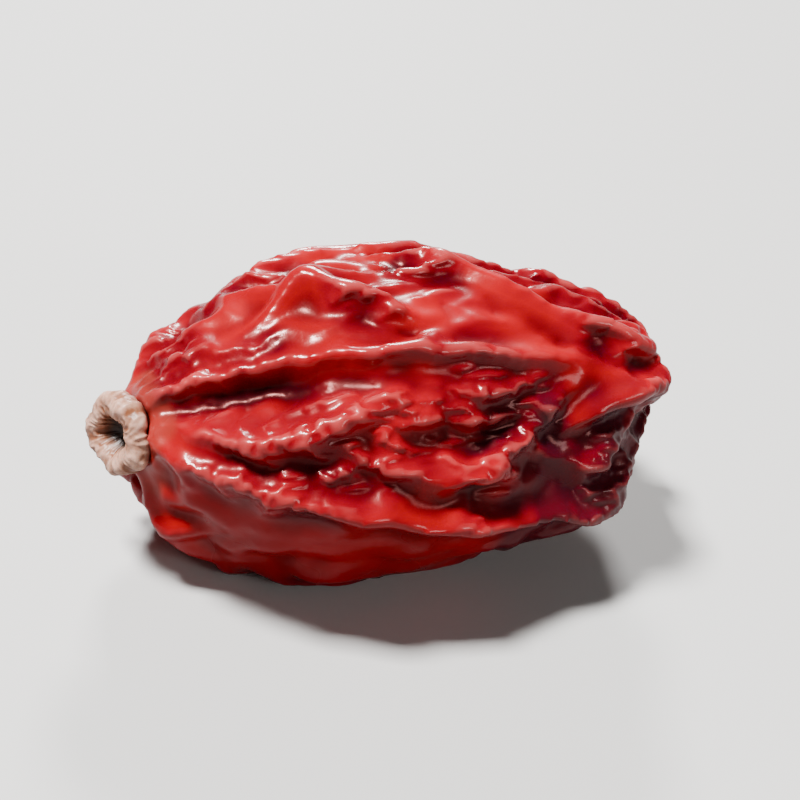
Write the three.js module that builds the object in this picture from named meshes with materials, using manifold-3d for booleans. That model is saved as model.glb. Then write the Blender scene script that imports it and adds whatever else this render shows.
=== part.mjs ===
// One dried barberry, a seedless fruit dried whole, lying on its side on a flat surface.
//
// Millimetres, +Z up. +X runs along the fruit, from the stigma end to the stalk end, and -Y is its front.
// The origin is under the middle of the fruit, on the surface that it lies on.
//
// The fruit is one solid. Its skin is worked out as the real one dries: the flesh shrinks, the skin stays
// too large for it, and a net of springs settles it into long sharp folds with hollows between them. Two
// small pieces of another tissue are left on it: the stigma, a thick woody ring at the tip, and the snapped
// end of the stalk at the base.
import * as THREE from "three";
import { mergeVertices } from "three/addons/utils/BufferGeometryUtils.js";
import Module from "manifold-3d";

// The fruit
const BODY_LENGTH = 8.75;
const BODY_WIDTH = 4.7;
const BODY_HEIGHT = 4.6;
const TAPER = 0.04; // the stigma end is this share narrower than the middle, the stalk end as much wider
const FULLNESS = 0.9; // under 1, the ends are blunter than an ellipsoid's
const AXIS_HEIGHT = 2.1; // of the fruit's long axis above the surface
const AXIS_SHIFT = 0.01; // of the body's middle along X, which centres the whole fruit on the origin
const ARCH = 0.2; // how far the ends of the axis lie above its middle
const UNDERSIDE_SAG = 0.12; // how far the soft underside sags past the surface before it is cut flat
const SKIN_DETAIL = 22; // each of the 20 faces of the starting icosahedron is cut into (detail + 1) squared
const STIGMA_END = 0.16; // share of the way to the stalk over which the stigma's hold on the skin fades
const STALK_END = 0.14; // and the stalk's hold, from its own end
const HELD = 0.02; // share of the way close round each, which is wholly held

// The shrunk flesh
const LUMP_HEIGHT = 0.22; // of its broad unevenness
const LUMP_SPAN = 2.9;
const FOLD_REACH = 0.2; // half width of a main fold's foot
const FOLD_END_HEIGHT = 0.45; // of a main fold at its ends, as a share of its height in the middle
const CREST_ROUNDING = 0.05; // radius of the sharpest crests
const LEAST_GIRTH = 0.3; // the radius that turns are measured at, close to the ends

// The drying
const SLACK_ROUND = 0.6; // how much longer the skin is than the flesh, measured round the fruit
const SLACK_ALONG = 0.12; // and along it
const TAUTEST = 0.25; // share of the slack where the skin stayed taut
const TAUT_SPAN = 2.1; // size of the taut and the slack areas
const TAUT_EDGE = 0.25; // how widely the noise swings between them
const END_SLACK = 0.35; // share of the slack close round the stigma and the stalk
const STRETCH_HOLD = 0.8; // how firmly each spring keeps to its length, in one round
const BEND_HOLD = 0.06; // how firmly the skin keeps flat, in one round
const FLESH_PULL = 0.005; // how firmly the flesh holds on to skin that has lifted off it
const FLESH_PUSH = 0.05; // how firmly it pushes back skin that sinks into it
const ROUNDS = 600;
const DRYING_SHARE = 0.6; // of the rounds, in which the skin grows to its full slack, to settle in the rest
const START_RIPPLE = 0.06; // the slight unevenness that the folds start from
const RIPPLE_SPACING = 0.62;

// The stigma
const STIGMA_DIAMETER = 1.3;
const STIGMA_THICKNESS = 0.56;
const STIGMA_STANDS_PROUD = 0.4;
const STIGMA_PIT_DIAMETER = 0.44;
const STIGMA_PIT_DEPTH = 0.3;
const STIGMA_NECK_DIAMETER = 0.86;

// The snapped stalk
const STALK_DIAMETER = 0.62;
const STALK_LENGTH = 0.95;
const STALK_STANDS_PROUD = 0.5;
const STALK_BREAK_SLANT = 0.084; // of the snapped end, as height gained from its middle to its edge

const SEAT_CLEARANCE = 0.03; // between the fruit and the two pieces that stand in it
const SEEDS = { lumps: 5, ripple: 3, tautness: 8 };

// The main folds, each a crest that runs from one point to another. A point is a share of the half turn
// from the stigma to the stalk, seen from the middle of the fruit, and degrees round the fruit from the top
// towards the front. bow is how far the middle of the crest lies off the straight line, in degrees.
const FOLDS = [
  { from: [0.08, 74], to: [0.84, 112], bow: -6, height: 0.42 }, // along the foot of the front
  { from: [0.1, 12], to: [0.66, 36], bow: 2, height: 0.34 }, // over the front hollow
  { from: [0.1, 46], to: [0.42, 44], bow: 14, height: 0.26 }, // under the front hollow
  { from: [0.42, 70], to: [0.66, 42], bow: 14, height: 0.26 }, // across the middle of the front
  { from: [0.46, -34], to: [0.78, 30], bow: 6, height: 0.34 }, // down from the back
  { from: [0.3, -30], to: [0.47, 14], bow: 5, height: 0.2 },
  { from: [0.66, 60], to: [0.93, 66], bow: -12, height: 0.3 }, // round the stalk end
  { from: [0.6, 92], to: [0.92, 84], bow: 8, height: 0.24 },
  { from: [0.1, 148], to: [0.85, 158], bow: 7, height: 0.26 }, // underside
  { from: [0.08, 205], to: [0.9, 214], bow: -9, height: 0.3 },
  { from: [0.12, 246], to: [0.62, 262], bow: 8, height: 0.36 }, // behind
  { from: [0.44, 232], to: [0.92, 252], bow: -6, height: 0.3 },
  { from: [0.07, 296], to: [0.88, 292], bow: 7, height: 0.38 },
  { from: [0.3, 322], to: [0.9, 338], bow: -8, height: 0.28 },
];

// Where the flesh has sunk, or, with a negative depth, stands out in a lobe. at is a point as above, and
// along and round are its half sizes in millimetres.
const HOLLOWS = [
  { at: [0.29, 31], depth: 0.42, along: 1.1, round: 0.45 }, // front hollow
  { at: [0.55, 62], depth: 0.22, along: 1.1, round: 0.55 },
  { at: [0.84, 92], depth: 0.4, along: 1.0, round: 1.2 },
  { at: [0.8, 34], depth: -0.2, along: 0.7, round: 0.6 },
  { at: [0.68, 8], depth: 0.2, along: 0.6, round: 0.7 },
  { at: [0.45, 232], depth: 0.36, along: 1.6, round: 0.7 },
  { at: [0.7, 310], depth: 0.36, along: 1.2, round: 0.6 },
  { at: [0.3, 275], depth: 0.3, along: 1.0, round: 0.6 },
];

// The plump band along the foot of the front, where the skin stayed taut, placed as the hollows are.
const BAND = { at: [0.36, 104], depth: 0.85, along: 2.2, round: 0.9 };

const wasm = await Module();
wasm.setup();

const clamp = (value, low, high) => Math.min(high, Math.max(low, value));
const fade = (s) => s * s * s * (s * (s * 6 - 15) + 10);
const step = (low, high, value) => fade(clamp((value - low) / (high - low), 0, 1));
const mix = (a, b, share) => a + (b - a) * share;

/** The scale from the noise lattice's ten random bits to a slope from -1 to 1. */
const LATTICE_HALF = 1023 / 2;

/** A fixed pseudo-random whole number for a corner of the noise lattice. */
function cornerHash(ix, iy, iz, seed) {
  let h = Math.imul(ix, 374761393) ^ Math.imul(iy, 668265263) ^ Math.imul(iz, 2246822519);
  h ^= Math.imul(seed, 3266489917);
  h = Math.imul(h ^ (h >>> 15), 2246822519);
  h = Math.imul(h ^ (h >>> 13), 3266489917);
  return (h ^ (h >>> 16)) >>> 0;
}

/** Smooth gradient noise, about -0.7 to 0.7, that crosses zero about once in each span. */
function noise(point, span, seed) {
  const [x, y, z] = [point.x / span, point.y / span, point.z / span];
  const [ix, iy, iz] = [Math.floor(x), Math.floor(y), Math.floor(z)];
  const [u, v, w] = [fade(x - ix), fade(y - iy), fade(z - iz)];
  const slope = (bits) => (bits & 1023) / LATTICE_HALF - 1;
  let sum = 0;
  for (const a of [0, 1])
    for (const b of [0, 1])
      for (const c of [0, 1]) {
        const h = cornerHash(ix + a, iy + b, iz + c, seed);
        const [dx, dy, dz] = [x - ix - a, y - iy - b, z - iz - c];
        const rise = slope(h) * dx + slope(h >>> 10) * dy + slope(h >>> 20) * dz;
        sum += (a ? u : 1 - u) * (b ? v : 1 - v) * (c ? w : 1 - w) * rise;
      }
  return sum;
}

/** The smallest turn between two directions round the fruit, in radians. */
function turnBetween(a, b) {
  const turn = (a - b) % (2 * Math.PI);
  if (turn > Math.PI) return turn - 2 * Math.PI;
  return turn < -Math.PI ? turn + 2 * Math.PI : turn;
}

/** How high the nearest main fold stands at a point of the flesh. */
function foldHeight(share, turn, radius) {
  let highest = 0;
  for (const { from, to, bow, height } of FOLDS) {
    const way = (share - from[0]) / (to[0] - from[0]);
    const along = clamp(way, 0, 1);
    const line = THREE.MathUtils.degToRad(mix(from[1], to[1], along) + bow * Math.sin(Math.PI * along));
    const past = (way - along) * (to[0] - from[0]) * BODY_LENGTH;
    const distance = Math.hypot(turnBetween(turn, line) * radius, past);
    const crest = Math.exp(-(Math.hypot(distance, CREST_ROUNDING) - CREST_ROUNDING) / FOLD_REACH);
    highest = Math.max(highest, height * mix(FOLD_END_HEIGHT, 1, Math.sin(Math.PI * along)) * crest);
  }
  return highest;
}

/** How deep a hollow is at a point of the flesh. */
function depthIn({ at, depth, along, round }, share, turn, radius) {
  const offAlong = ((share - at[0]) * BODY_LENGTH) / along;
  const offRound = (turnBetween(turn, THREE.MathUtils.degToRad(at[1])) * radius) / round;
  return depth * Math.exp(-(offAlong * offAlong + offRound * offRound));
}

/** The shrunk flesh in a unit direction from the fruit's middle: its point, outward direction and slack. */
function fleshAt(direction) {
  const across = Math.max(Math.hypot(direction.y, direction.z), 1e-6);
  const radius = (BODY_WIDTH / 2) * across ** FULLNESS * (1 + TAPER * direction.x);
  const share = Math.acos(clamp(-direction.x, -1, 1)) / Math.PI;
  const turn = Math.atan2(-direction.y, direction.z);
  const ends = step(HELD, STIGMA_END, share) * step(HELD, STALK_END, 1 - share);
  const outwards = new THREE.Vector3(
    direction.x / BODY_LENGTH,
    direction.y / BODY_WIDTH,
    direction.z / BODY_HEIGHT,
  ).normalize();
  const point = new THREE.Vector3(
    (BODY_LENGTH / 2) * direction.x,
    (radius * direction.y) / across,
    ((radius * direction.z) / across) * (BODY_HEIGHT / BODY_WIDTH),
  );
  const girth = Math.max(radius, LEAST_GIRTH);
  const lumps = 2 * LUMP_HEIGHT * noise(point, LUMP_SPAN, SEEDS.lumps);
  const fold = foldHeight(share, turn, girth);
  const ripple = START_RIPPLE * noise(point, RIPPLE_SPACING, SEEDS.ripple);
  const sunk = HOLLOWS.reduce((sum, hollow) => sum + depthIn(hollow, share, turn, girth), 0);
  const looseness = step(-TAUT_EDGE, TAUT_EDGE, noise(point, TAUT_SPAN, SEEDS.tautness));
  const offBand = 1 - depthIn(BAND, share, turn, girth);
  const slack = mix(TAUTEST, 1, looseness) * mix(END_SLACK, 1, ends) * offBand;
  point.addScaledVector(outwards, (lumps + fold + ripple) * ends - sunk);
  point.x += AXIS_SHIFT;
  point.z += AXIS_HEIGHT + ARCH * direction.x * direction.x;
  return { point, outwards, slack };
}

/** The edges of a mesh, each as its two ends and the two corners that face it. */
function edgesOf(triangles) {
  const edges = new Map();
  for (let t = 0; t < triangles.length; t += 3)
    for (let k = 0; k < 3; k++) {
      const [a, b, facing] = [0, 1, 2].map((n) => triangles[t + ((k + n) % 3)]);
      const key = `${Math.min(a, b)} ${Math.max(a, b)}`;
      if (!edges.has(key)) edges.set(key, { ends: [a, b], facing: [] });
      edges.get(key).facing.push(facing);
    }
  return [...edges.values()];
}

/** Moves two points towards a distance from each other, by a share of what is missing. */
function spring(at, a, b, rest, hold) {
  const [x, y, z] = [0, 1, 2].map((k) => at[3 * b + k] - at[3 * a + k]);
  const length = Math.hypot(x, y, z);
  const pull = (0.5 * hold * (length - rest)) / length;
  for (const [k, d] of [x, y, z].entries()) {
    at[3 * a + k] += pull * d;
    at[3 * b + k] -= pull * d;
  }
}

/** A spring of the skin: the two points that it joins, how long it starts, and how long it grows. */
function skinSpring(flesh, ends, hold) {
  const [a, b] = ends;
  const between = flesh[a].point.clone().sub(flesh[b].point);
  const slack = (flesh[a].slack + flesh[b].slack) / 2;
  const along = between.x * (1 + SLACK_ALONG * slack);
  const round = Math.hypot(between.y, between.z) * (1 + SLACK_ROUND * slack);
  return { a, b, hold, start: between.length(), rest: Math.hypot(along, round) };
}

/** Holds a point of the skin to the flesh: weakly where it has lifted off, firmly where it sinks in. */
function holdToFlesh(at, i, { point, outwards }) {
  const off = [at[3 * i] - point.x, at[3 * i + 1] - point.y, at[3 * i + 2] - point.z];
  const lift = off[0] * outwards.x + off[1] * outwards.y + off[2] * outwards.z;
  const hold = lift > 0 ? FLESH_PULL : FLESH_PUSH;
  for (const k of [0, 1, 2]) at[3 * i + k] -= hold * off[k];
  at[3 * i + 2] = Math.max(at[3 * i + 2], -UNDERSIDE_SAG);
}

/** The dried skin: it starts on the flesh, grows too long for it, and settles into folds. */
function driedSkin(directions, triangles) {
  const flesh = directions.map(fleshAt);
  const at = Float64Array.from(flesh.flatMap(({ point }) => point.toArray()));
  const springs = edgesOf(triangles).flatMap(({ ends, facing }) => [
    skinSpring(flesh, ends, STRETCH_HOLD),
    skinSpring(flesh, facing, BEND_HOLD),
  ]);
  for (let n = 0; n < ROUNDS; n++) {
    const dried = Math.min(1, n / (DRYING_SHARE * ROUNDS));
    for (const { a, b, start, rest, hold } of springs) spring(at, a, b, mix(start, rest, dried), hold);
    flesh.forEach((spot, i) => holdToFlesh(at, i, spot));
  }
  return at;
}

/** A closed geometry as a solid, with its matrix applied. */
function solidOf(geometry, matrix = new THREE.Matrix4()) {
  const bare = new THREE.BufferGeometry();
  bare.setAttribute("position", geometry.getAttribute("position").clone());
  if (geometry.index) bare.setIndex(geometry.index.clone());
  const merged = mergeVertices(bare.applyMatrix4(matrix), 1e-4);
  return new wasm.Manifold(
    new wasm.Mesh({
      numProp: 3,
      vertProperties: merged.attributes.position.array,
      triVerts: new Uint32Array(merged.index.array),
    }),
  );
}

/** A solid as a geometry. */
function geometryOf(solid) {
  const mesh = solid.getMesh();
  const geometry = new THREE.BufferGeometry()
    .setAttribute("position", new THREE.BufferAttribute(mesh.vertProperties, 3))
    .setIndex(new THREE.BufferAttribute(mesh.triVerts, 1));
  geometry.computeVertexNormals();
  return geometry;
}

/** A turned shape about +Z from [radius, height] points, its outline made uneven by lobes. */
function turned(outline, segments, lobes) {
  const geometry = new THREE.LatheGeometry(
    outline.map(([r, h]) => new THREE.Vector2(r, h)),
    segments,
  ).rotateX(Math.PI / 2);
  const position = geometry.getAttribute("position");
  for (let i = 0; i < position.count; i++) {
    const [x, y, z] = [position.getX(i), position.getY(i), position.getZ(i)];
    const swell = 1 + lobes(Math.atan2(y, x));
    position.setXYZ(i, x * swell, y * swell, z);
  }
  return geometry;
}

/** The stigma about +Z, from its underside up: a thick rounded ring on a short neck, open in a pit. */
function stigmaGeometry(grow = 0) {
  const rim = STIGMA_DIAMETER / 2 + grow;
  const neck = STIGMA_NECK_DIAMETER / 2 + grow;
  const pit = STIGMA_PIT_DIAMETER / 2;
  const top = STIGMA_THICKNESS;
  const seat = STIGMA_THICKNESS - STIGMA_STANDS_PROUD;
  const outline = [
    [0, -grow],
    [neck, -grow],
    [neck, seat * 0.6],
    [rim * 0.86, seat + 0.04],
    [rim * 0.97, seat + 0.11],
    [rim, seat + 0.19],
    [rim * 0.96, top - 0.09],
    [rim * 0.84, top - 0.02],
    [rim * 0.68, top],
    [rim * 0.52, top - 0.03],
    [pit * 1.1, top - 0.1],
    [pit, top - 0.2],
    [pit * 0.6, top - STIGMA_PIT_DEPTH],
    [0, top - STIGMA_PIT_DEPTH],
  ];
  const lobes = (angle) => 0.045 * Math.sin(3 * angle + 0.6) + 0.03 * Math.sin(5 * angle + 2);
  return turned(outline, 30, lobes);
}

/** The stalk's snapped end about +Z, with its buried end at height 0: a ribbed stub, broken off unevenly. */
function stalkGeometry(grow = 0) {
  const r = STALK_DIAMETER / 2 + grow;
  const outline = [
    [0, -grow],
    [r * 1.12, -grow],
    [r * 1.16, 0.3],
    [r * 1.2, 0.44],
    [r, 0.58],
    [r * 0.92, 0.76],
    [r * 0.95, STALK_LENGTH - 0.06],
    [r * 0.72, STALK_LENGTH],
    [r * 0.3, STALK_LENGTH - 0.07],
    [0, STALK_LENGTH - 0.1],
  ];
  const ribs = (angle) => 0.06 * Math.sin(6 * angle) + 0.04 * Math.sin(2 * angle + 1);
  const geometry = turned(outline, 18, ribs);
  const position = geometry.getAttribute("position");
  for (let i = 0; i < position.count; i++) {
    const z = position.getZ(i);
    const snapped = step(STALK_LENGTH * 0.7, STALK_LENGTH, z);
    position.setZ(i, z + (snapped * STALK_BREAK_SLANT * position.getX(i)) / r);
  }
  return geometry;
}

/** Where a piece stands on the fruit: its +Z turned to a direction, and its underside sunk below a point. */
function standOn(point, facing, sunk) {
  const turn = new THREE.Quaternion().setFromUnitVectors(new THREE.Vector3(0, 0, 1), facing);
  const foot = point.clone().addScaledVector(facing, -sunk);
  return new THREE.Matrix4().compose(foot, turn, new THREE.Vector3(1, 1, 1));
}

const tip = fleshAt(new THREE.Vector3(-1, 0, 0)).point;
const base = fleshAt(new THREE.Vector3(1, 0, 0)).point;
const stigmaFacing = new THREE.Vector3(-1, -0.36, 0.12).normalize();
const stalkFacing = new THREE.Vector3(1, 0.06, 0.14).normalize();
const stigmaPlace = standOn(tip, stigmaFacing, STIGMA_THICKNESS - STIGMA_STANDS_PROUD);
const stalkPlace = standOn(base, stalkFacing, STALK_LENGTH - STALK_STANDS_PROUD);

/** The fruit: its dried skin as one solid, cut flat where it rests and hollowed at the two pieces. */
function fruitGeometry() {
  const sphere = new THREE.IcosahedronGeometry(1, SKIN_DETAIL);
  const skin = mergeVertices(
    new THREE.BufferGeometry().setAttribute("position", sphere.getAttribute("position")),
    1e-5,
  );
  const position = skin.getAttribute("position");
  const directions = Array.from({ length: position.count }, (_, i) =>
    new THREE.Vector3().fromBufferAttribute(position, i).normalize(),
  );
  position.array.set(driedSkin(directions, skin.index.array));
  const under = new THREE.BoxGeometry(2 * BODY_LENGTH, 2 * BODY_WIDTH, BODY_HEIGHT);
  under.translate(0, 0, -BODY_HEIGHT / 2);
  const cut = solidOf(skin)
    .subtract(solidOf(under))
    .subtract(solidOf(stigmaGeometry(SEAT_CLEARANCE), stigmaPlace))
    .subtract(solidOf(stalkGeometry(SEAT_CLEARANCE), stalkPlace));
  const [fruit] = cut.decompose().sort((a, b) => b.volume() - a.volume()); // the cuts leave loose crumbs
  return geometryOf(fruit);
}

/** A named mesh in its own finish. */
function piece(name, geometry, colour, roughness) {
  const finish = new THREE.MeshStandardMaterial({ color: colour, roughness, metalness: 0 });
  const mesh = new THREE.Mesh(geometry, finish);
  mesh.name = name;
  return mesh;
}

const barberry = new THREE.Group();
barberry.add(
  piece("fruit", fruitGeometry(), 0x9c1016, 0.3),
  piece("stigma", stigmaGeometry().applyMatrix4(stigmaPlace), 0xb79a66, 0.7),
  piece("stalk_stub", stalkGeometry().applyMatrix4(stalkPlace), 0x8a7148, 0.8),
);

export default barberry;
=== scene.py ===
"""Looks of one dried barberry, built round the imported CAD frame.

The fruit's solid has the berry's form and its main folds. Its skin is remade here from a copy of that
solid, much finer: a net of springs, a little too long for the flesh, buckles into the small sharp
wrinkles between the folds. The stigma's woody ring and the snapped end of the stalk are remade too, in
the places of their nodes.
"""

import logging
import math
from dataclasses import dataclass
from enum import Enum

import bmesh
import bpy
import numpy as np
from mathutils import Matrix, Quaternion, Vector, noise


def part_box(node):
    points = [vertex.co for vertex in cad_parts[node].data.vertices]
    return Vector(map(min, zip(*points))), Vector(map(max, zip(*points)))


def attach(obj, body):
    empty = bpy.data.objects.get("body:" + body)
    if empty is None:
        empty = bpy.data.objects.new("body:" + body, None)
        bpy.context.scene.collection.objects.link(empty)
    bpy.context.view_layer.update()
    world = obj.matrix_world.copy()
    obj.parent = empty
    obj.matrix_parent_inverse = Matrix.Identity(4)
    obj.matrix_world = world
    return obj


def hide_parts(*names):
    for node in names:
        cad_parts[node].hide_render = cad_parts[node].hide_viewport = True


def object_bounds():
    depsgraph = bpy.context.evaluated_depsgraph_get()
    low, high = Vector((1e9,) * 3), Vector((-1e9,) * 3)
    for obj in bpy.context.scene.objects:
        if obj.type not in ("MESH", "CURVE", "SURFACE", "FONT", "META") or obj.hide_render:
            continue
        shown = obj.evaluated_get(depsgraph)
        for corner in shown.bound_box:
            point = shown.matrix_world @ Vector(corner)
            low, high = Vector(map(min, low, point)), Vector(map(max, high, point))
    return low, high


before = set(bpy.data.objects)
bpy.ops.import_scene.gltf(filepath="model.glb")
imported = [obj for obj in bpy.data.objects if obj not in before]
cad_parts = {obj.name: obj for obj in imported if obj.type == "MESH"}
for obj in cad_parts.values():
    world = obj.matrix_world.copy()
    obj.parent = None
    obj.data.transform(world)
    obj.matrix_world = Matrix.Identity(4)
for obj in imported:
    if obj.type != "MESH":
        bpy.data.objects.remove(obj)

CAD_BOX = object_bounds()
MM = 0.001
BODY = "root"
log = logging.getLogger("barberry")


def linear(colour: str) -> tuple[float, float, float, float]:
    """Turns an sRGB hex colour into linear RGBA, by the curve of the sRGB standard.

    Args:
        colour: six hex digits after a hash sign.

    Returns:
        The linear red, green, blue and an alpha of 1.
    """
    shares = [int(colour[k : k + 2], 16) / 255 for k in (1, 3, 5)]
    red, green, blue = (s / 12.92 if s <= 0.04045 else ((s + 0.055) / 1.055) ** 2.4 for s in shares)
    return (red, green, blue, 1.0)


def add_node(tree: bpy.types.NodeTree, kind: str, settings: dict, links: dict) -> bpy.types.Node:
    """Adds a node, with its settings and links.

    Args:
        tree: the material's node tree.
        kind: the node's type, without the ShaderNode prefix.
        settings: values by the name of a property of the node or of an input. Under "stops" stand a
            colour ramp's places from 0 to 1 with their sRGB hex colours, in order.
        links: output sockets by the name or number of the input that they feed.

    Returns:
        The new node.
    """
    node = tree.nodes.new("ShaderNode" + kind)
    for name, value in settings.items():
        if name == "stops":
            elements = node.color_ramp.elements
            while len(elements) < len(value):
                elements.new(1.0)
            for element, (place, colour) in zip(elements, value):
                element.position = place
                element.color = linear(colour)
        elif isinstance(name, str) and hasattr(node, name):
            setattr(node, name, value)
        else:
            node.inputs[name].default_value = value
    for name, socket in links.items():
        tree.links.new(socket, node.inputs[name])
    return node


def new_material(name: str) -> tuple[bpy.types.Material, bpy.types.NodeTree]:
    """Makes an empty material.

    Args:
        name: the material's name.

    Returns:
        The material and its node tree.
    """
    material = bpy.data.materials.new(name)
    material.use_nodes = True
    material.node_tree.nodes.clear()
    return material, material.node_tree


def points_of(mesh: bpy.types.Mesh) -> np.ndarray:
    """Reads a mesh's vertex positions.

    Args:
        mesh: the mesh.

    Returns:
        Rows of x, y and z.
    """
    points = np.empty(len(mesh.vertices) * 3)
    mesh.vertices.foreach_get("co", points)
    return points.reshape(-1, 3)


def normals_of(mesh: bpy.types.Mesh) -> np.ndarray:
    """Reads a mesh's vertex normals.

    Args:
        mesh: the mesh.

    Returns:
        Rows of x, y and z.
    """
    normals = np.empty(len(mesh.vertices) * 3)
    mesh.vertex_normals.foreach_get("vector", normals)
    return normals.reshape(-1, 3)


def edges_of(mesh: bpy.types.Mesh) -> np.ndarray:
    """Reads a mesh's edges.

    Args:
        mesh: the mesh.

    Returns:
        Rows of two vertex numbers.
    """
    edges = np.empty(len(mesh.edges) * 2, dtype=np.int64)
    mesh.edges.foreach_get("vertices", edges)
    return edges.reshape(-1, 2)


def triangle_net(mesh: bpy.types.Mesh) -> tuple[np.ndarray, np.ndarray]:
    """Finds the sides of a closed mesh's triangles, and the two corners that face each side.

    Args:
        mesh: a closed mesh; its larger faces count as the triangles that they are drawn as.

    Returns:
        The sides, then the facing corners, as rows of two vertex numbers.
    """
    mesh.calc_loop_triangles()
    corners = np.empty(len(mesh.loop_triangles) * 3, dtype=np.int64)
    mesh.loop_triangles.foreach_get("vertices", corners)
    corners = corners.reshape(-1, 3)
    sides = np.concatenate([corners[:, (0, 1, 2)], corners[:, (1, 2, 0)], corners[:, (2, 0, 1)]])
    low, high = sides[:, :2].min(axis=1), sides[:, :2].max(axis=1)
    order = np.argsort(low * len(mesh.vertices) + high, kind="stable")
    pairs = np.stack([low, high], axis=1)[order[::2]]
    return pairs, sides[order, 2].reshape(-1, 2)


def smoothed(points: np.ndarray, edges: np.ndarray, rounds: int) -> np.ndarray:
    """Evens points out over a mesh, each towards its neighbours' mean.

    Args:
        points: a row for each vertex.
        edges: the mesh's edges, as rows of two vertex numbers.
        rounds: how many times each point is moved half of the way.

    Returns:
        The evened rows.
    """
    count = np.bincount(edges.ravel(), minlength=len(points))[:, None]
    result = points.copy()
    for _ in range(rounds):
        total = np.zeros_like(result)
        for column in range(result.shape[1]):
            for here, there in ((0, 1), (1, 0)):
                values = result[edges[:, there], column]
                total[:, column] += np.bincount(edges[:, here], values, len(points))
        result = 0.5 * result + 0.5 * total / count
    return result


def noise_at(points: np.ndarray, span: float) -> np.ndarray:
    """Reads smooth noise from about -1 to 1 at each point.

    Args:
        points: a row for each point.
        span: how far apart its hills are.

    Returns:
        A value for each point.
    """
    return np.array([noise.noise(Vector(place)) for place in points / span])


def step(low: float, high: float, values: np.ndarray) -> np.ndarray:
    """Rises smoothly from 0 at the low value to 1 at the high one, and falls where low is the larger."""
    share = np.clip((values - low) / (high - low), 0, 1)
    return share * share * (3 - 2 * share)


def angles_and_radii(at: np.ndarray) -> tuple[np.ndarray, np.ndarray]:
    """Gives each point's angle and distance round the Z axis."""
    return np.arctan2(at[:, 1], at[:, 0]), np.hypot(at[:, 0], at[:, 1])


def store_colour(mesh: bpy.types.Mesh, name: str, channels: tuple) -> None:
    """Stores up to three values from 0 to 1 for each vertex, as a colour attribute.

    Args:
        mesh: the mesh.
        name: the attribute's name.
        channels: a row of values, or one value for all, for each of red, green and blue.
    """
    colours = np.ones((len(mesh.vertices), 4))
    for column, values in enumerate(channels):
        colours[:, column] = np.clip(values, 0, 1)
    mesh.color_attributes.new(name, "FLOAT_COLOR", "POINT").data.foreach_set("color", colours.ravel())


def add_piece(name: str, mesh: bpy.types.Mesh) -> bpy.types.Object:
    """Makes an object at the origin from a mesh whose place is in its vertices.

    Args:
        name: the piece's name.
        mesh: its mesh.

    Returns:
        The new object.
    """
    piece = bpy.data.objects.new(name, mesh)
    bpy.context.scene.collection.objects.link(piece)
    return piece


def finished(piece: bpy.types.Object) -> bpy.types.Mesh:
    """Applies an object's modifiers.

    Args:
        piece: the object, which keeps the new mesh and no modifiers.

    Returns:
        The mesh that the modifiers make.
    """
    bpy.context.view_layer.update()
    evaluated = piece.evaluated_get(bpy.context.evaluated_depsgraph_get())
    mesh = bpy.data.meshes.new_from_object(evaluated)
    piece.modifiers.clear()
    old = piece.data
    piece.data = mesh
    bpy.data.meshes.remove(old)
    return mesh


class Measure(Enum):
    """What the skin's attributes measure: an attribute's name and the number of its channel."""

    SMALL_RELIEF = ("relief", 0)
    BROAD_RELIEF = ("relief", 1)
    TAUT = ("state", 0)
    BRUISED = ("state", 1)
    COLLAR = ("state", 2)


@dataclass(frozen=True)
class Tint:
    """A colour laid over the skin where a measure runs from one value to another."""

    colour: str
    measure: Measure
    none_at: float
    full_at: float
    most: float  # the colour's share where it is full


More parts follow.
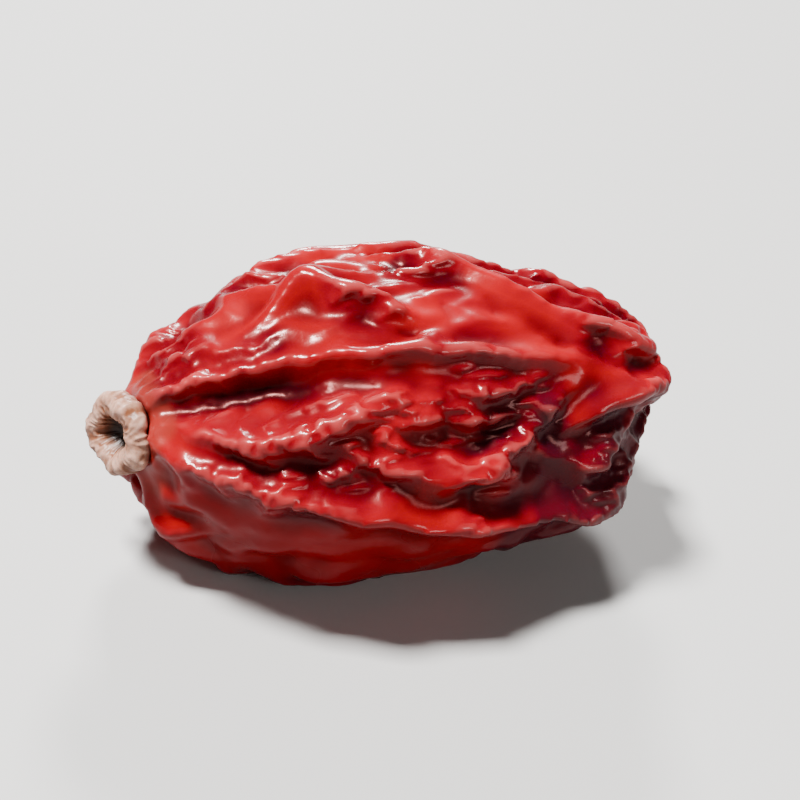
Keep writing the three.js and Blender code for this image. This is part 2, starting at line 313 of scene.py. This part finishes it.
@dataclass(frozen=True)
class DriedFruitSkin:
    """Dried fruit skin: thin, tough and glossy over sugary flesh, so light goes in and comes out red."""

    name: str = "dried_fruit_skin"
    shade: str = "#4E0110"
    flank: str = "#820214"
    bright: str = "#AC041A"
    gleam: str = "#FFA098"  # what the skin mirrors head-on, reddened by the flesh just under it
    tints: tuple[Tint, ...] = (
        Tint("#B6060E", Measure.TAUT, 0.55, 1.0, 0.6),  # smooth skin, the purest red
        Tint("#AC041A", Measure.BROAD_RELIEF, 0.55, 0.85, 0.5),  # painted light: folds that stand out, brightened
        Tint("#280108", Measure.BROAD_RELIEF, 0.5, 0.2, 0.92),  # painted shade: valleys darkened nearly black
        Tint("#3E0A1A", Measure.BRUISED, 0.0, 0.75, 0.82),  # the lobe that dried dark as wine
        Tint("#EC7670", Measure.SMALL_RELIEF, 0.7, 1.0, 0.32),  # painted highlight: pale pink along the crests of the small wrinkles
        Tint("#9C4234", Measure.COLLAR, 0.0, 1.0, 0.4),  # the collars at the stigma and the stalk, brown
    )
    patch_mm: float = 1.9  # width of the patches that dried lighter or darker, and duller or glossier
    pore_mm: float = 0.09  # real pores are finer, and are drawn this coarse so that they show
    pore_depth_mm: float = 0.01
    glow_mm: float = 0.16  # how far red light travels under the skin

    def material(self) -> bpy.types.Material:
        """Builds the node tree. The folds and the state of the skin come from the mesh's attributes.

        Returns:
            The material.
        """
        material, tree = new_material(self.name)
        place = add_node(tree, "TexCoord", {}, {}).outputs["Object"]
        measured = {}
        for name in ("relief", "state"):
            stored = add_node(tree, "Attribute", {"attribute_name": name}, {}).outputs["Color"]
            channels = add_node(tree, "SeparateColor", {}, {"Color": stored}).outputs
            for number, channel in enumerate(channels):
                measured[name, number] = channel
        mottling = {"Scale": 1 / (self.patch_mm * MM), "Detail": 2.0, "Roughness": 0.5}
        patches = add_node(tree, "TexNoise", mottling, {"Vector": place}).outputs["Fac"]
        stops = [(0.34, self.shade), (0.5, self.flank), (0.66, self.bright)]
        colour = add_node(tree, "ValToRGB", {"stops": stops}, {"Fac": patches}).outputs["Color"]
        # the tints by relief are painted light and shade: folds brightened, valleys darkened, crests lit
        # pale pink
        for tint in self.tints:
            limits = {"From Min": tint.none_at, "From Max": tint.full_at, "To Max": tint.most}
            measure = measured[tint.measure.value]
            amount = add_node(tree, "MapRange", limits, {"Value": measure}).outputs["Result"]
            over = {"Color2": linear(tint.colour)}
            mixed = add_node(tree, "MixRGB", over, {"Fac": amount, "Color1": colour})
            colour = mixed.outputs["Color"]
        pitting = {"Scale": 1 / (self.pore_mm * MM), "Detail": 3.0, "Roughness": 0.6}
        pores = add_node(tree, "TexNoise", pitting, {"Vector": place}).outputs["Fac"]
        depth = {"Strength": 0.3, "Distance": self.pore_depth_mm * MM}
        bump = add_node(tree, "Bump", depth, {"Height": pores}).outputs["Normal"]
        dulling = {"From Min": 0.3, "From Max": 0.75, "To Min": 0.2, "To Max": 0.4}
        rough = add_node(tree, "MapRange", dulling, {"Value": patches}).outputs["Result"]
        # a film of dried juice, thickest on the folds that stand out
        film = {"From Min": 0.3, "From Max": 0.8, "To Max": 0.4}
        broad = measured[Measure.BROAD_RELIEF.value]
        coat = add_node(tree, "MapRange", film, {"Value": broad}).outputs["Result"]
        even = {
            "IOR": 1.47,
            "Specular IOR Level": 0.4,
            "Specular Tint": linear(self.gleam),
            "Subsurface Weight": 0.2,
            "Subsurface Radius": (1.0, 0.04, 0.04),
            "Subsurface Scale": self.glow_mm * MM,
            "Coat Roughness": 0.08,
        }
        varied = {"Base Color": colour, "Roughness": rough, "Coat Weight": coat}
        shader = add_node(tree, "BsdfPrincipled", even, {**varied, "Normal": bump, "Coat Normal": bump})
        add_node(tree, "OutputMaterial", {}, {"Surface": shader.outputs["BSDF"]})
        return material


@dataclass(frozen=True)
class WoodyTissue:
    """Dry plant tissue: dull to silky, paler where it stands out and darker where it is sunk."""

    name: str
    pale: str
    sunk_tone: str
    dark: str
    stain: str
    roughness: float
    stain_share: float = 0.85
    dark_share: float = 0.95
    grain_mm: float = 0.05  # real fibres and cells are finer, and are drawn this coarse to show
    grain_depth_mm: float = 0.008
    grain_share: float = 0.5  # how much the grain adds to the furrows' mottling
    glow_mm: float = 0.1

    def material(self) -> bpy.types.Material:
        """Builds the node tree. Furrows, cavities and stains come from the mesh's tissue attribute.

        Returns:
            The material.
        """
        material, tree = new_material(self.name)
        place = add_node(tree, "TexCoord", {}, {}).outputs["Object"]
        tissue = add_node(tree, "Attribute", {"attribute_name": "tissue"}, {}).outputs["Color"]
        furrow, cavity, stained = add_node(tree, "SeparateColor", {}, {"Color": tissue}).outputs
        graining = {"Scale": 1 / (self.grain_mm * MM), "Detail": 3.0, "Roughness": 0.6}
        grain = add_node(tree, "TexNoise", graining, {"Vector": place}).outputs["Fac"]
        adding = {"operation": "MULTIPLY_ADD", 1: self.grain_share}
        mottle = add_node(tree, "Math", adding, {0: grain, 2: furrow}).outputs["Value"]
        stops = [(0.3, self.pale), (0.95, self.sunk_tone)]
        colour = add_node(tree, "ValToRGB", {"stops": stops}, {"Fac": mottle}).outputs["Color"]
        for over, where, most in (
            (self.stain, stained, self.stain_share),
            (self.dark, cavity, self.dark_share),
        ):
            amount = add_node(tree, "MapRange", {"To Max": most}, {"Value": where}).outputs["Result"]
            mixed = add_node(tree, "MixRGB", {"Color2": linear(over)}, {"Fac": amount, "Color1": colour})
            colour = mixed.outputs["Color"]
        depth = {"Strength": 0.5, "Distance": self.grain_depth_mm * MM}
        bump = add_node(tree, "Bump", depth, {"Height": grain}).outputs["Normal"]
        glow = {"Subsurface Weight": 0.1, "Subsurface Scale": self.glow_mm * MM}
        even = {"Roughness": self.roughness, **glow}
        shader = add_node(tree, "BsdfPrincipled", even, {"Base Color": colour, "Normal": bump})
        add_node(tree, "OutputMaterial", {}, {"Surface": shader.outputs["BSDF"]})
        return material


@dataclass(frozen=True)
class Springs:
    """Springs that join pairs of points of a net, all equally firm."""

    ends: np.ndarray
    start: np.ndarray
    rest: np.ndarray
    hold: float

    def moves(self, at: np.ndarray, grown: float) -> np.ndarray:
        """Sums up how each point is drawn towards the springs' lengths.

        Args:
            at: the points, a row each.
            grown: how far the springs have grown from their start to their rest length, from 0 to 1.

        Returns:
            A row for each point.
        """
        here, there = self.ends[:, 0], self.ends[:, 1]
        between = at[there] - at[here]
        length = np.sqrt(np.einsum("ij,ij->i", between, between))
        want = self.start + (self.rest - self.start) * grown
        # each end moves half of the way
        pull = (0.5 * self.hold * (1 - want / length))[:, None] * between
        total = np.empty_like(at)
        for column in range(3):
            total[:, column] = np.bincount(here, pull[:, column], len(at))
            total[:, column] -= np.bincount(there, pull[:, column], len(at))
        return total


@dataclass(frozen=True)
class Drying:
    """One stage of the skin's drying, in which it is a little too long for its flesh and buckles."""

    slack_round: float  # how much longer the skin grows round the fruit, as a share
    slack_along: float  # and along it
    bend_hold: float  # firmness of the springs that keep the skin from bending
    flesh_pull: float  # how firmly the flesh draws lifted skin back
    flesh_push: float  # and how firmly it keeps sunken skin out
    rounds: int
    ripple_mm: float  # height of the first unevenness, which the wrinkles grow from
    ripple_span_mm: float
    most_moved_mm: float
    crest_gain: float  # how much further the crests are drawn out, as dry skin folds sharply
    crest_rounds: int = 4  # of smoothing, to tell a crest from the skin round it
    settle_rounds: int = 1  # of smoothing at the end
    stretch_hold: float = 0.8  # and of those that keep it from stretching
    over_step: float = 1.4  # each round's step, as a share of the springs' mean
    growing_share: float = 0.6  # of the rounds, in which the skin grows to its full length


@dataclass
class DriedSkin:
    """The fruit's skin, remade finely from a copy of its solid and wrinkled as it dries."""

    node: str = "fruit"
    name: str = "dried_skin"
    slot: str = "skin"
    finish: DriedFruitSkin = DriedFruitSkin()
    work_scale: float = 1000.0  # the net is worked on in millimetres
    merge_mm: float = 0.0005
    net_mm: float = 0.1
    wrinkles: Drying = Drying(
        slack_round=0.3, slack_along=0.08, bend_hold=0.1, flesh_pull=0.02, flesh_push=0.08, rounds=220,
        ripple_mm=0.02, ripple_span_mm=0.28, most_moved_mm=0.2, crest_gain=1.3,
    )
    creases: Drying = Drying(
        slack_round=0.14, slack_along=0.08, bend_hold=0.35, flesh_pull=0.05, flesh_push=0.1, rounds=50,
        ripple_mm=0.012, ripple_span_mm=0.17, most_moved_mm=0.06, crest_gain=0.5,
    )
    tautest: float = 0.1  # share of the slack where the skin stayed taut
    taut_span_mm: float = 1.3
    loose_middle: float = 0.45  # the share of the slack halfway between taut and loose skin
    loose_swing: float = 2.2  # how sharply the one changes to the other
    rest_edge_mm: float = 0.2  # the skin lies still up to half of this height, and is free from 1.5
    band_from_mm: tuple[float, float, float] = (-3.6, -1.2, 1.3)  # ends of the smooth band on the front
    band_to_mm: tuple[float, float, float] = (1.4, -2.6, 1.2)
    band_mm: float = 0.9  # half of its width
    band_edge: float = 0.3  # the share of that over which it fades, each way
    bruise_at_mm: tuple[float, float, float] = (2.8, -1.9, 1.4)  # where the skin dried darkest
    bruise_mm: float = 2.3
    bruise_full: float = 0.5  # share of that up to which the bruise is full
    bruise_gone: float = 1.15  # and from which there is none
    bruise_rag: float = 0.5  # how far its edge wanders, as a share too
    bruise_rag_span_mm: float = 0.6
    collar_mm: float = 0.2  # how far the skin is browned round the stigma and the stalk
    collar_full_mm: float = 0.05
    collar_rag_mm: float = 0.12
    collar_rag_span_mm: float = 0.3
    even_rounds: int = 2  # rounds of smoothing of the places, before their relief is measured
    facing_rounds: int = 3  # of the normals that it is measured along
    small_rounds: int = 10  # of the level that small wrinkles stand above
    broad_rounds: int = 150  # and of the level that broad folds do
    relief_spread: float = 2.5  # standard deviations that are stored as 0.88, or 0.12 where sunken

    def build(self) -> bpy.types.Object:
        """Makes the skin.

        Returns:
            The finished piece.
        """
        shape = bmesh.new()
        shape.from_mesh(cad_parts[self.node].data)
        bmesh.ops.remove_doubles(shape, verts=shape.verts, dist=self.merge_mm * MM)
        bmesh.ops.scale(shape, vec=(self.work_scale,) * 3, verts=shape.verts)
        mesh = bpy.data.meshes.new(self.name)
        shape.to_mesh(mesh)
        shape.free()
        piece = add_piece(self.name, mesh)
        rounding = piece.modifiers.new("rounding", "SUBSURF")
        rounding.levels = rounding.render_levels = 2
        remesh = piece.modifiers.new("even_net", "REMESH")
        remesh.mode = "VOXEL"
        remesh.voxel_size = self.net_mm
        even = piece.modifiers.new("even", "SMOOTH")
        even.factor = 0.5
        even.iterations = 2
        self.dry(finished(piece), self.wrinkles)
        fine = piece.modifiers.new("fine_net", "SUBSURF")
        fine.levels = fine.render_levels = 1
        mesh = finished(piece)
        self.dry(mesh, self.creases)
        self.store_relief(mesh)
        self.store_state(mesh)
        mesh.transform(Matrix.Scale(1 / self.work_scale, 4))
        mesh.shade_smooth()
        return piece

    def looseness(self, at: np.ndarray) -> np.ndarray:
        """Works out where the skin is slack: not where it rests, and less where it stayed taut.

        Args:
            at: points of the skin, in millimetres.

        Returns:
            Each point's share of the slack.
        """
        swing = self.loose_swing * noise_at(at, self.taut_span_mm)
        loose = self.tautest + (1 - self.tautest) * np.clip(self.loose_middle + swing, 0, 1)
        start, end = np.array(self.band_from_mm), np.array(self.band_to_mm)
        along = np.clip((at - start) @ (end - start) / ((end - start) @ (end - start)), 0, 1)
        away = np.linalg.norm(at - start - along[:, None] * (end - start), axis=1)
        inner, outer = (1 - self.band_edge) * self.band_mm, (1 + self.band_edge) * self.band_mm
        loose *= self.tautest + (1 - self.tautest) * step(inner, outer, away)
        return loose * np.clip((at[:, 2] - at[:, 2].min()) / self.rest_edge_mm - 0.5, 0, 1)

    def dry(self, mesh: bpy.types.Mesh, stage: Drying) -> None:
        """Lets the skin grow a little too long for its flesh, so that it buckles into wrinkles.

        Args:
            mesh: the evenly meshed skin, in millimetres.
            stage: how far it dries, and into what wrinkles.
        """
        flesh, outwards = points_of(mesh), normals_of(mesh)
        loose = self.looseness(flesh)
        sides, facing = triangle_net(mesh)
        nets = []
        for ends, hold in ((sides, stage.stretch_hold), (facing, stage.bend_hold)):
            between = flesh[ends[:, 1]] - flesh[ends[:, 0]]
            share = loose[ends].mean(axis=1)
            along = between[:, 0] * (1 + stage.slack_along * share)
            round_it = np.hypot(between[:, 1], between[:, 2]) * (1 + stage.slack_round * share)
            nets.append(Springs(ends, np.linalg.norm(between, axis=1), np.hypot(along, round_it), hold))
        count = np.bincount(sides.ravel(), minlength=len(flesh))[:, None]
        ripple = noise_at(flesh, stage.ripple_span_mm)
        at = flesh + outwards * (stage.ripple_mm * ripple * loose)[:, None]
        for number in range(stage.rounds):
            grown = min(1.0, number / (stage.growing_share * stage.rounds))
            for net in nets:
                at += stage.over_step * net.moves(at, grown) / count
            off = at - flesh
            lifted = np.einsum("ij,ij->i", off, outwards) > 0
            at -= off * np.where(lifted, stage.flesh_pull, stage.flesh_push)[:, None]
        moved = (at - flesh) * (loose > 0)[:, None]
        length = np.linalg.norm(moved, axis=1, keepdims=True)
        log.info("skin moved %.3f mm on average, %.3f mm at most", length.mean(), length.max())
        kept = np.minimum(1, stage.most_moved_mm / np.maximum(length, 1e-9))  # no division by zero
        at = smoothed(flesh + moved * kept, sides, stage.settle_rounds)
        raised = at - smoothed(at, sides, stage.crest_rounds)
        crests = np.maximum(np.einsum("ij,ij->i", raised, outwards), 0) * loose
        at += outwards * (stage.crest_gain * crests)[:, None]
        mesh.vertices.foreach_set("co", at.ravel())
        mesh.update()

    def store_relief(self, mesh: bpy.types.Mesh) -> None:
        """Stores how far each point stands above the skin round it, as a colour.

        Args:
            mesh: the finished skin, in millimetres. Red is the relief of small wrinkles, green of broad
                folds; both are 0.5 on level skin.
        """
        edges = edges_of(mesh)
        points = smoothed(points_of(mesh), edges, self.even_rounds)
        normals = smoothed(normals_of(mesh), edges, self.facing_rounds)
        near = smoothed(points, edges, self.small_rounds)
        far = smoothed(near, edges, self.broad_rounds)
        small = np.einsum("ij,ij->i", points - near, normals)
        broad = np.einsum("ij,ij->i", near - far, normals)
        log.info("relief: small %.4f, broad %.4f mm", small.std(), broad.std())
        spread = self.relief_spread
        channels = (0.5 + 0.5 * np.tanh(relief / (spread * relief.std())) for relief in (small, broad))
        store_colour(mesh, "relief", (*channels, 0))

    def store_state(self, mesh: bpy.types.Mesh) -> None:
        """Stores how the skin dried, as a colour.

        Args:
            mesh: the finished skin, in millimetres. Red is high where it is taut, green where it is
                bruised and blue at its collars.
        """
        at = points_of(mesh)
        away = np.linalg.norm(at - np.array(self.bruise_at_mm), axis=1) / self.bruise_mm
        wander = self.bruise_rag * noise_at(at, self.bruise_rag_span_mm)
        bruised = step(self.bruise_gone, self.bruise_full, away + wander)
        ragged = at + self.collar_rag_mm * noise_at(at, self.collar_rag_span_mm)[:, None]
        held = np.zeros(len(at))
        for node in ("stigma", "stalk_stub"):
            low, high = (np.array(corner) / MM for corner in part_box(node))
            gap = np.linalg.norm(np.maximum(0, np.maximum(low - ragged, ragged - high)), axis=1)
            held = np.maximum(held, step(self.collar_mm, self.collar_full_mm, gap))
        store_colour(mesh, "state", (1 - self.looseness(at), bruised, held))

    def dress(self, piece: bpy.types.Object) -> None:
        """Gives the skin its finish and its place in the frame.

        Args:
            piece: the finished piece.
        """
        piece.data.materials.clear()
        piece.data.materials.append(self.finish.material())
        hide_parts(self.node)
        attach(piece, BODY)


@dataclass
class WoodyPiece:
    """A small woody piece that stands on the fruit, remade in the place of its node."""

    node: str
    name: str
    slot: str
    finish: WoodyTissue
    facing: tuple[float, float, float]
    outline: tuple[tuple[float, float], ...]  # radii and heights in mm, from the foot's middle up
    steps: int = 72
    levels: int = 2
    merge_mm: float = 1e-5

    def build(self) -> bpy.types.Object:
        """Spins the outline, weathers it and stands it in its place.

        Returns:
            The finished piece.
        """
        shape = bmesh.new()
        corners = [shape.verts.new((radius, 0.0, height)) for radius, height in self.outline]
        sides = [shape.edges.new(pair) for pair in zip(corners, corners[1:])]
        bmesh.ops.spin(
            shape, geom=corners + sides, cent=(0, 0, 0), axis=(0, 0, 1), angle=2 * math.pi,
            steps=self.steps, use_merge=True,
        )
        bmesh.ops.remove_doubles(shape, verts=shape.verts, dist=self.merge_mm)
        bmesh.ops.recalc_face_normals(shape, faces=shape.faces)
        mesh = bpy.data.meshes.new(self.name)
        shape.to_mesh(mesh)
        shape.free()
        piece = add_piece(self.name, mesh)
        rounding = piece.modifiers.new("rounding", "SUBSURF")
        rounding.levels = rounding.render_levels = self.levels
        mesh = finished(piece)
        self.weather(mesh)
        mesh.transform(self.placing())
        mesh.shade_smooth()
        return piece

    def weather(self, mesh: bpy.types.Mesh) -> None:
        """Roughens the piece, in millimetres about +Z, and stores its tissue attribute."""
        raise NotImplementedError

    def placing(self) -> Matrix:
        """Works out how the piece stands where its node stands.

        Returns:
            The matrix from millimetres about +Z to the piece's place.
        """
        at = points_of(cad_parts[self.node].data)
        facing = Vector(self.facing).normalized()
        along = at @ np.array(facing)
        foot = Vector(at.mean(axis=0)) + facing * (along.min() - along.mean())
        turn = Vector((0, 0, 1)).rotation_difference(facing)
        return Matrix.LocRotScale(foot, turn, Vector((MM, MM, MM)))

    def dress(self, piece: bpy.types.Object) -> None:
        """Gives the piece its finish and its place in the frame.

        Args:
            piece: the finished piece.
        """
        piece.data.materials.append(self.finish.material())
        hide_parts(self.node)
        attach(piece, BODY)


@dataclass
class Stigma(WoodyPiece):
    """The stigma: a thick woody ring, uneven round its rim, with a dark pit."""

    node: str = "stigma"
    name: str = "stigma_ring"
    slot: str = "stigma"
    finish: WoodyTissue = WoodyTissue(
        "woody_stigma_tissue", pale="#E6B49C", sunk_tone="#92583A", dark="#180C06", stain="#6A1C14",
        roughness=0.4,
    )
    facing: tuple[float, float, float] = (-1, -0.36, 0.12)
    outline: tuple[tuple[float, float], ...] = (
        (0.0, 0.0), (0.3, 0.0), (0.43, 0.02), (0.45, 0.11), (0.55, 0.17), (0.63, 0.24), (0.66, 0.35),
        (0.635, 0.46), (0.56, 0.53), (0.46, 0.555), (0.36, 0.535), (0.28, 0.48), (0.235, 0.4),
        (0.22, 0.3), (0.15, 0.22), (0.0, 0.2),
    )
    # each wave round the rim: its share of the radius, its number of lobes and its turn in radians
    lobes: tuple[tuple[float, int, float], ...] = ((0.045, 3, 0.6), (0.03, 5, 2.0))
    lump_mm: float = 0.05
    lump_span_mm: float = 0.26
    furrow_mm: float = 0.016
    furrow_span: float = 0.21  # between radial furrows, in radians
    furrow_bend: float = 1.2  # how much a furrow wanders along its radius
    furrow_sharpness: float = 2.4
    grain_mm: float = 0.01
    grain_span_mm: float = 0.07
    foot_mm: tuple[float, float] = (0.1, 0.24)  # heights between which the smooth foot grows rough
    middle_mm: tuple[float, float] = (0.05, 0.3)  # and radii between which the pit's floor does
    pit_mm: tuple[float, float] = (0.27, 0.2)  # radii between which the pit darkens
    pit_floor_mm: tuple[float, float] = (0.16, 0.22)  # heights over which it does, above the foot
    stain_mm: tuple[float, float] = (0.36, 0.16)  # heights between which the red of the skin stains it
    stain_from_mm: tuple[float, float] = (0.2, 0.3)  # radii from which it does, outside the pit

    def weather(self, mesh: bpy.types.Mesh) -> None:
        """Gives the ring its lobes, radial furrows and grain.

        Args:
            mesh: the spun ring, in millimetres about +Z.
        """
        at, outwards = points_of(mesh), normals_of(mesh)
        angle, radius = angles_and_radii(at)
        swell = sum(share * np.sin(number * angle + turn) for share, number, turn in self.lobes)
        round_it = np.stack([np.cos(angle), np.sin(angle), radius * self.furrow_bend], axis=1)
        furrows = 1 - self.furrow_sharpness * np.abs(noise_at(round_it, self.furrow_span))
        lumps = noise_at(at, self.lump_span_mm)
        free = step(*self.foot_mm, at[:, 2]) * step(*self.middle_mm, radius)
        grain = noise_at(at, self.grain_span_mm)
        at[:, :2] *= (1 + swell)[:, None]
        # lumps and furrows are sunk a little, so that the ring keeps within its solid
        raised = self.lump_mm * (lumps - 0.2) + self.furrow_mm * (furrows - 0.7) + self.grain_mm * grain
        at += outwards * (free * raised)[:, None]
        mesh.vertices.foreach_set("co", at.ravel())
        # the tone is darker where the ring is sunk and paler where it is raised
        sunk_tone = 0.55 - 0.35 * furrows - 0.5 * lumps
        cavity = step(*self.pit_mm, radius) * step(*self.pit_floor_mm, at[:, 2])
        stained = step(*self.stain_mm, at[:, 2]) * step(*self.stain_from_mm, radius)
        store_colour(mesh, "tissue", (sunk_tone, cavity, stained))


@dataclass
class StalkStub(WoodyPiece):
    """The snapped end of the stalk: ribbed along its fibres, and torn across."""

    node: str = "stalk_stub"
    name: str = "snapped_stalk"
    slot: str = "stalk"
    finish: WoodyTissue = WoodyTissue(
        "dry_stalk_fibre", pale="#A98F5C", sunk_tone="#4C3B1E", dark="#2A1E10", stain="#4E140E",
        roughness=0.6,
    )
    facing: tuple[float, float, float] = (1, 0.06, 0.14)
    outline: tuple[tuple[float, float], ...] = (
        (0.0, 0.0), (0.2, 0.0), (0.345, 0.02), (0.355, 0.2), (0.36, 0.36), (0.37, 0.45), (0.335, 0.53),
        (0.3, 0.62), (0.285, 0.74), (0.285, 0.84), (0.275, 0.9), (0.22, 0.93), (0.15, 0.9), (0.07, 0.87),
        (0.0, 0.86),
    )
    # each wave round the stub, as for the stigma's lobes
    ribs: tuple[tuple[float, int, float], ...] = ((0.06, 6, 0.0), (0.04, 2, 1.0))
    radius_mm: float = 0.31
    fibre_mm: float = 0.035
    fibre_span_mm: float = 0.045
    bundle_span_mm: float = 0.11
    fibre_stretch: float = 0.08  # how much the noise is drawn out along the stalk
    torn_mm: float = 0.07
    torn_from_mm: tuple[float, float] = (0.8, 0.92)  # heights between which the tear begins
    break_slant_mm: float = 0.084  # how far the break rises over the stub's radius
    pith_mm: tuple[float, float] = (0.12, 0.03)  # radii between which the pith darkens
    stain_mm: tuple[float, float] = (0.6, 0.4)  # heights between which the red of the skin stains it

    def weather(self, mesh: bpy.types.Mesh) -> None:
        """Gives the stub its ribs and fibres, and its torn end.

        Args:
            mesh: the spun stub, in millimetres about +Z.
        """
        at = points_of(mesh)
        angle, radius = angles_and_radii(at)
        swell = sum(share * np.sin(number * angle + turn) for share, number, turn in self.ribs)
        across = at * np.array((1.0, 1.0, self.fibre_stretch))
        bundles, fibres = noise_at(across, self.bundle_span_mm), noise_at(across, self.fibre_span_mm)
        torn = step(*self.torn_from_mm, at[:, 2])
        rough = (self.fibre_mm * bundles + 0.4 * self.fibre_mm * fibres) / self.radius_mm
        at[:, :2] *= (1 + swell + rough)[:, None]
        # the torn ends are sunk a little, so that the stub keeps within its solid
        at[:, 2] += torn * self.torn_mm * (0.7 * bundles + 0.6 * fibres - 0.3)
        at[:, 2] += torn * self.break_slant_mm * at[:, 0] / self.radius_mm
        mesh.vertices.foreach_set("co", at.ravel())
        # the tone is darker where the stub is sunk between its fibres, and paler at the tear
        sunk_tone = 0.45 - 0.6 * bundles - 0.5 * fibres - 0.25 * torn
        pith = 0.7 * torn * step(*self.pith_mm, radius)
        store_colour(mesh, "tissue", (sunk_tone, pith, step(*self.stain_mm, at[:, 2])))


@dataclass(frozen=True)
class Lamp:
    """A soft square light that faces the berry."""

    name: str
    stands: tuple[float, float, float]  # its place from the berry, in shares of the lamps' distance
    side: float  # of its square, as such a share too
    watts: float


@dataclass
class Studio:
    """A pale floor, soft lights and the camera."""

    lens_mm: float = 85.0
    azimuth: float = -30.0
    elevation: float = 35.0
    roll: float = 13.0  # the photographed berry leans, so here its length is turned level
    fill_share: float = 0.68  # of the picture's width that the berry takes
    floor_mm: float = 3000.0
    floor_seen: str = "#D8D6D3"
    floor_mirrored: str = "#7C7776"  # as the skin mirrors it and is lit by it, not to veil the deep red
    dim: float = 0.05  # the room's light on the berry, weak so that the skin stays deep red
    pale: float = 1.3  # the room behind the floor, as the camera sees it
    lamps_mm: float = 300.0  # how far off the lamps stand, so that they fall evenly on the floor
    lamps: tuple[Lamp, ...] = (
        Lamp("key", (-0.75, 0.25, 1.8), 0.36, 10.4),
        Lamp("front", (0.9, -1.7, 0.9), 0.6, 0.8),
        Lamp("back", (0.6, 1.7, 1.0), 0.36, 4.4),
    )

    def build(self) -> None:
        """Makes the floor, the camera, the lamps and the room's light."""
        low, high = (Vector(corner) for corner in CAD_BOX)
        target = (low + high) / 2
        self.add_floor()
        self.add_camera(target)
        for lamp in self.lamps:
            self.add_lamp(lamp, target)
        world = bpy.data.worlds.new("studio")
        world.use_nodes = True
        seen = add_node(world.node_tree, "LightPath", {}, {}).outputs["Is Camera Ray"]
        limits = {"To Min": self.dim, "To Max": self.pale}
        strength = add_node(world.node_tree, "MapRange", limits, {"Value": seen}).outputs["Result"]
        background = world.node_tree.nodes["Background"]
        world.node_tree.links.new(strength, background.inputs["Strength"])
        background.inputs["Color"].default_value = linear("#FFFFFF")
        bpy.context.scene.world = world

    def add_floor(self) -> None:
        """Makes the floor, of pale matt paper: an even tone on which shadows lie soft."""
        shape = bmesh.new()
        bmesh.ops.create_grid(shape, x_segments=1, y_segments=1, size=self.floor_mm * MM)
        mesh = bpy.data.meshes.new("floor")
        shape.to_mesh(mesh)
        shape.free()
        material, tree = new_material("pale_paper")
        seen = add_node(tree, "LightPath", {}, {}).outputs["Is Camera Ray"]
        shades = {"Color1": linear(self.floor_mirrored), "Color2": linear(self.floor_seen)}
        colour = add_node(tree, "MixRGB", shades, {"Fac": seen}).outputs["Color"]
        shader = add_node(tree, "BsdfPrincipled", {"Roughness": 0.6}, {"Base Color": colour})
        add_node(tree, "OutputMaterial", {}, {"Surface": shader.outputs["BSDF"]})
        mesh.materials.append(material)
        add_piece("floor", mesh)

    def add_camera(self, target: Vector) -> None:
        """Makes the camera.

        Args:
            target: the point that it looks at.
        """
        data = bpy.data.cameras.new("camera")
        data.lens = self.lens_mm
        data.clip_start = 1 * MM
        camera = bpy.data.objects.new("camera", data)
        bpy.context.scene.collection.objects.link(camera)
        bpy.context.scene.camera = camera
        turn, rise = math.radians(self.azimuth), math.radians(self.elevation)
        level_share = math.cos(rise)
        back = Vector((math.sin(turn) * level_share, -math.cos(turn) * level_share, math.sin(rise)))
        width = CAD_BOX[1][0] - CAD_BOX[0][0]
        distance = width * math.cos(turn) / self.fill_share * data.lens / data.sensor_width
        camera.location = target + back * distance
        camera.rotation_mode = "QUATERNION"
        level = (-back).to_track_quat("-Z", "Y")
        camera.rotation_quaternion = level @ Quaternion((0, 0, 1), math.radians(self.roll))

    def add_lamp(self, lamp: Lamp, target: Vector) -> None:
        """Makes one soft light.

        Args:
            lamp: its place, size and power.
            target: the point that it faces.
        """
        data = bpy.data.lights.new(lamp.name, "AREA")
        data.size = lamp.side * self.lamps_mm * MM
        data.energy = lamp.watts
        light = bpy.data.objects.new(lamp.name, data)
        bpy.context.scene.collection.objects.link(light)
        place = target + Vector(lamp.stands) * self.lamps_mm * MM
        light.location = place
        light.rotation_mode = "QUATERNION"
        light.rotation_quaternion = (target - place).to_track_quat("-Z", "Y")


def main() -> None:
    """Builds the studio and the berry's pieces in order."""
    logging.basicConfig(level=logging.INFO, format="%(message)s")
    Studio().build()
    for maker in (DriedSkin(), Stigma(), StalkStub()):
        piece = maker.build()
        maker.dress(piece)
        log.info("%s: %d faces", piece.name, len(piece.data.polygons))


if __name__ == "__main__":
    main()
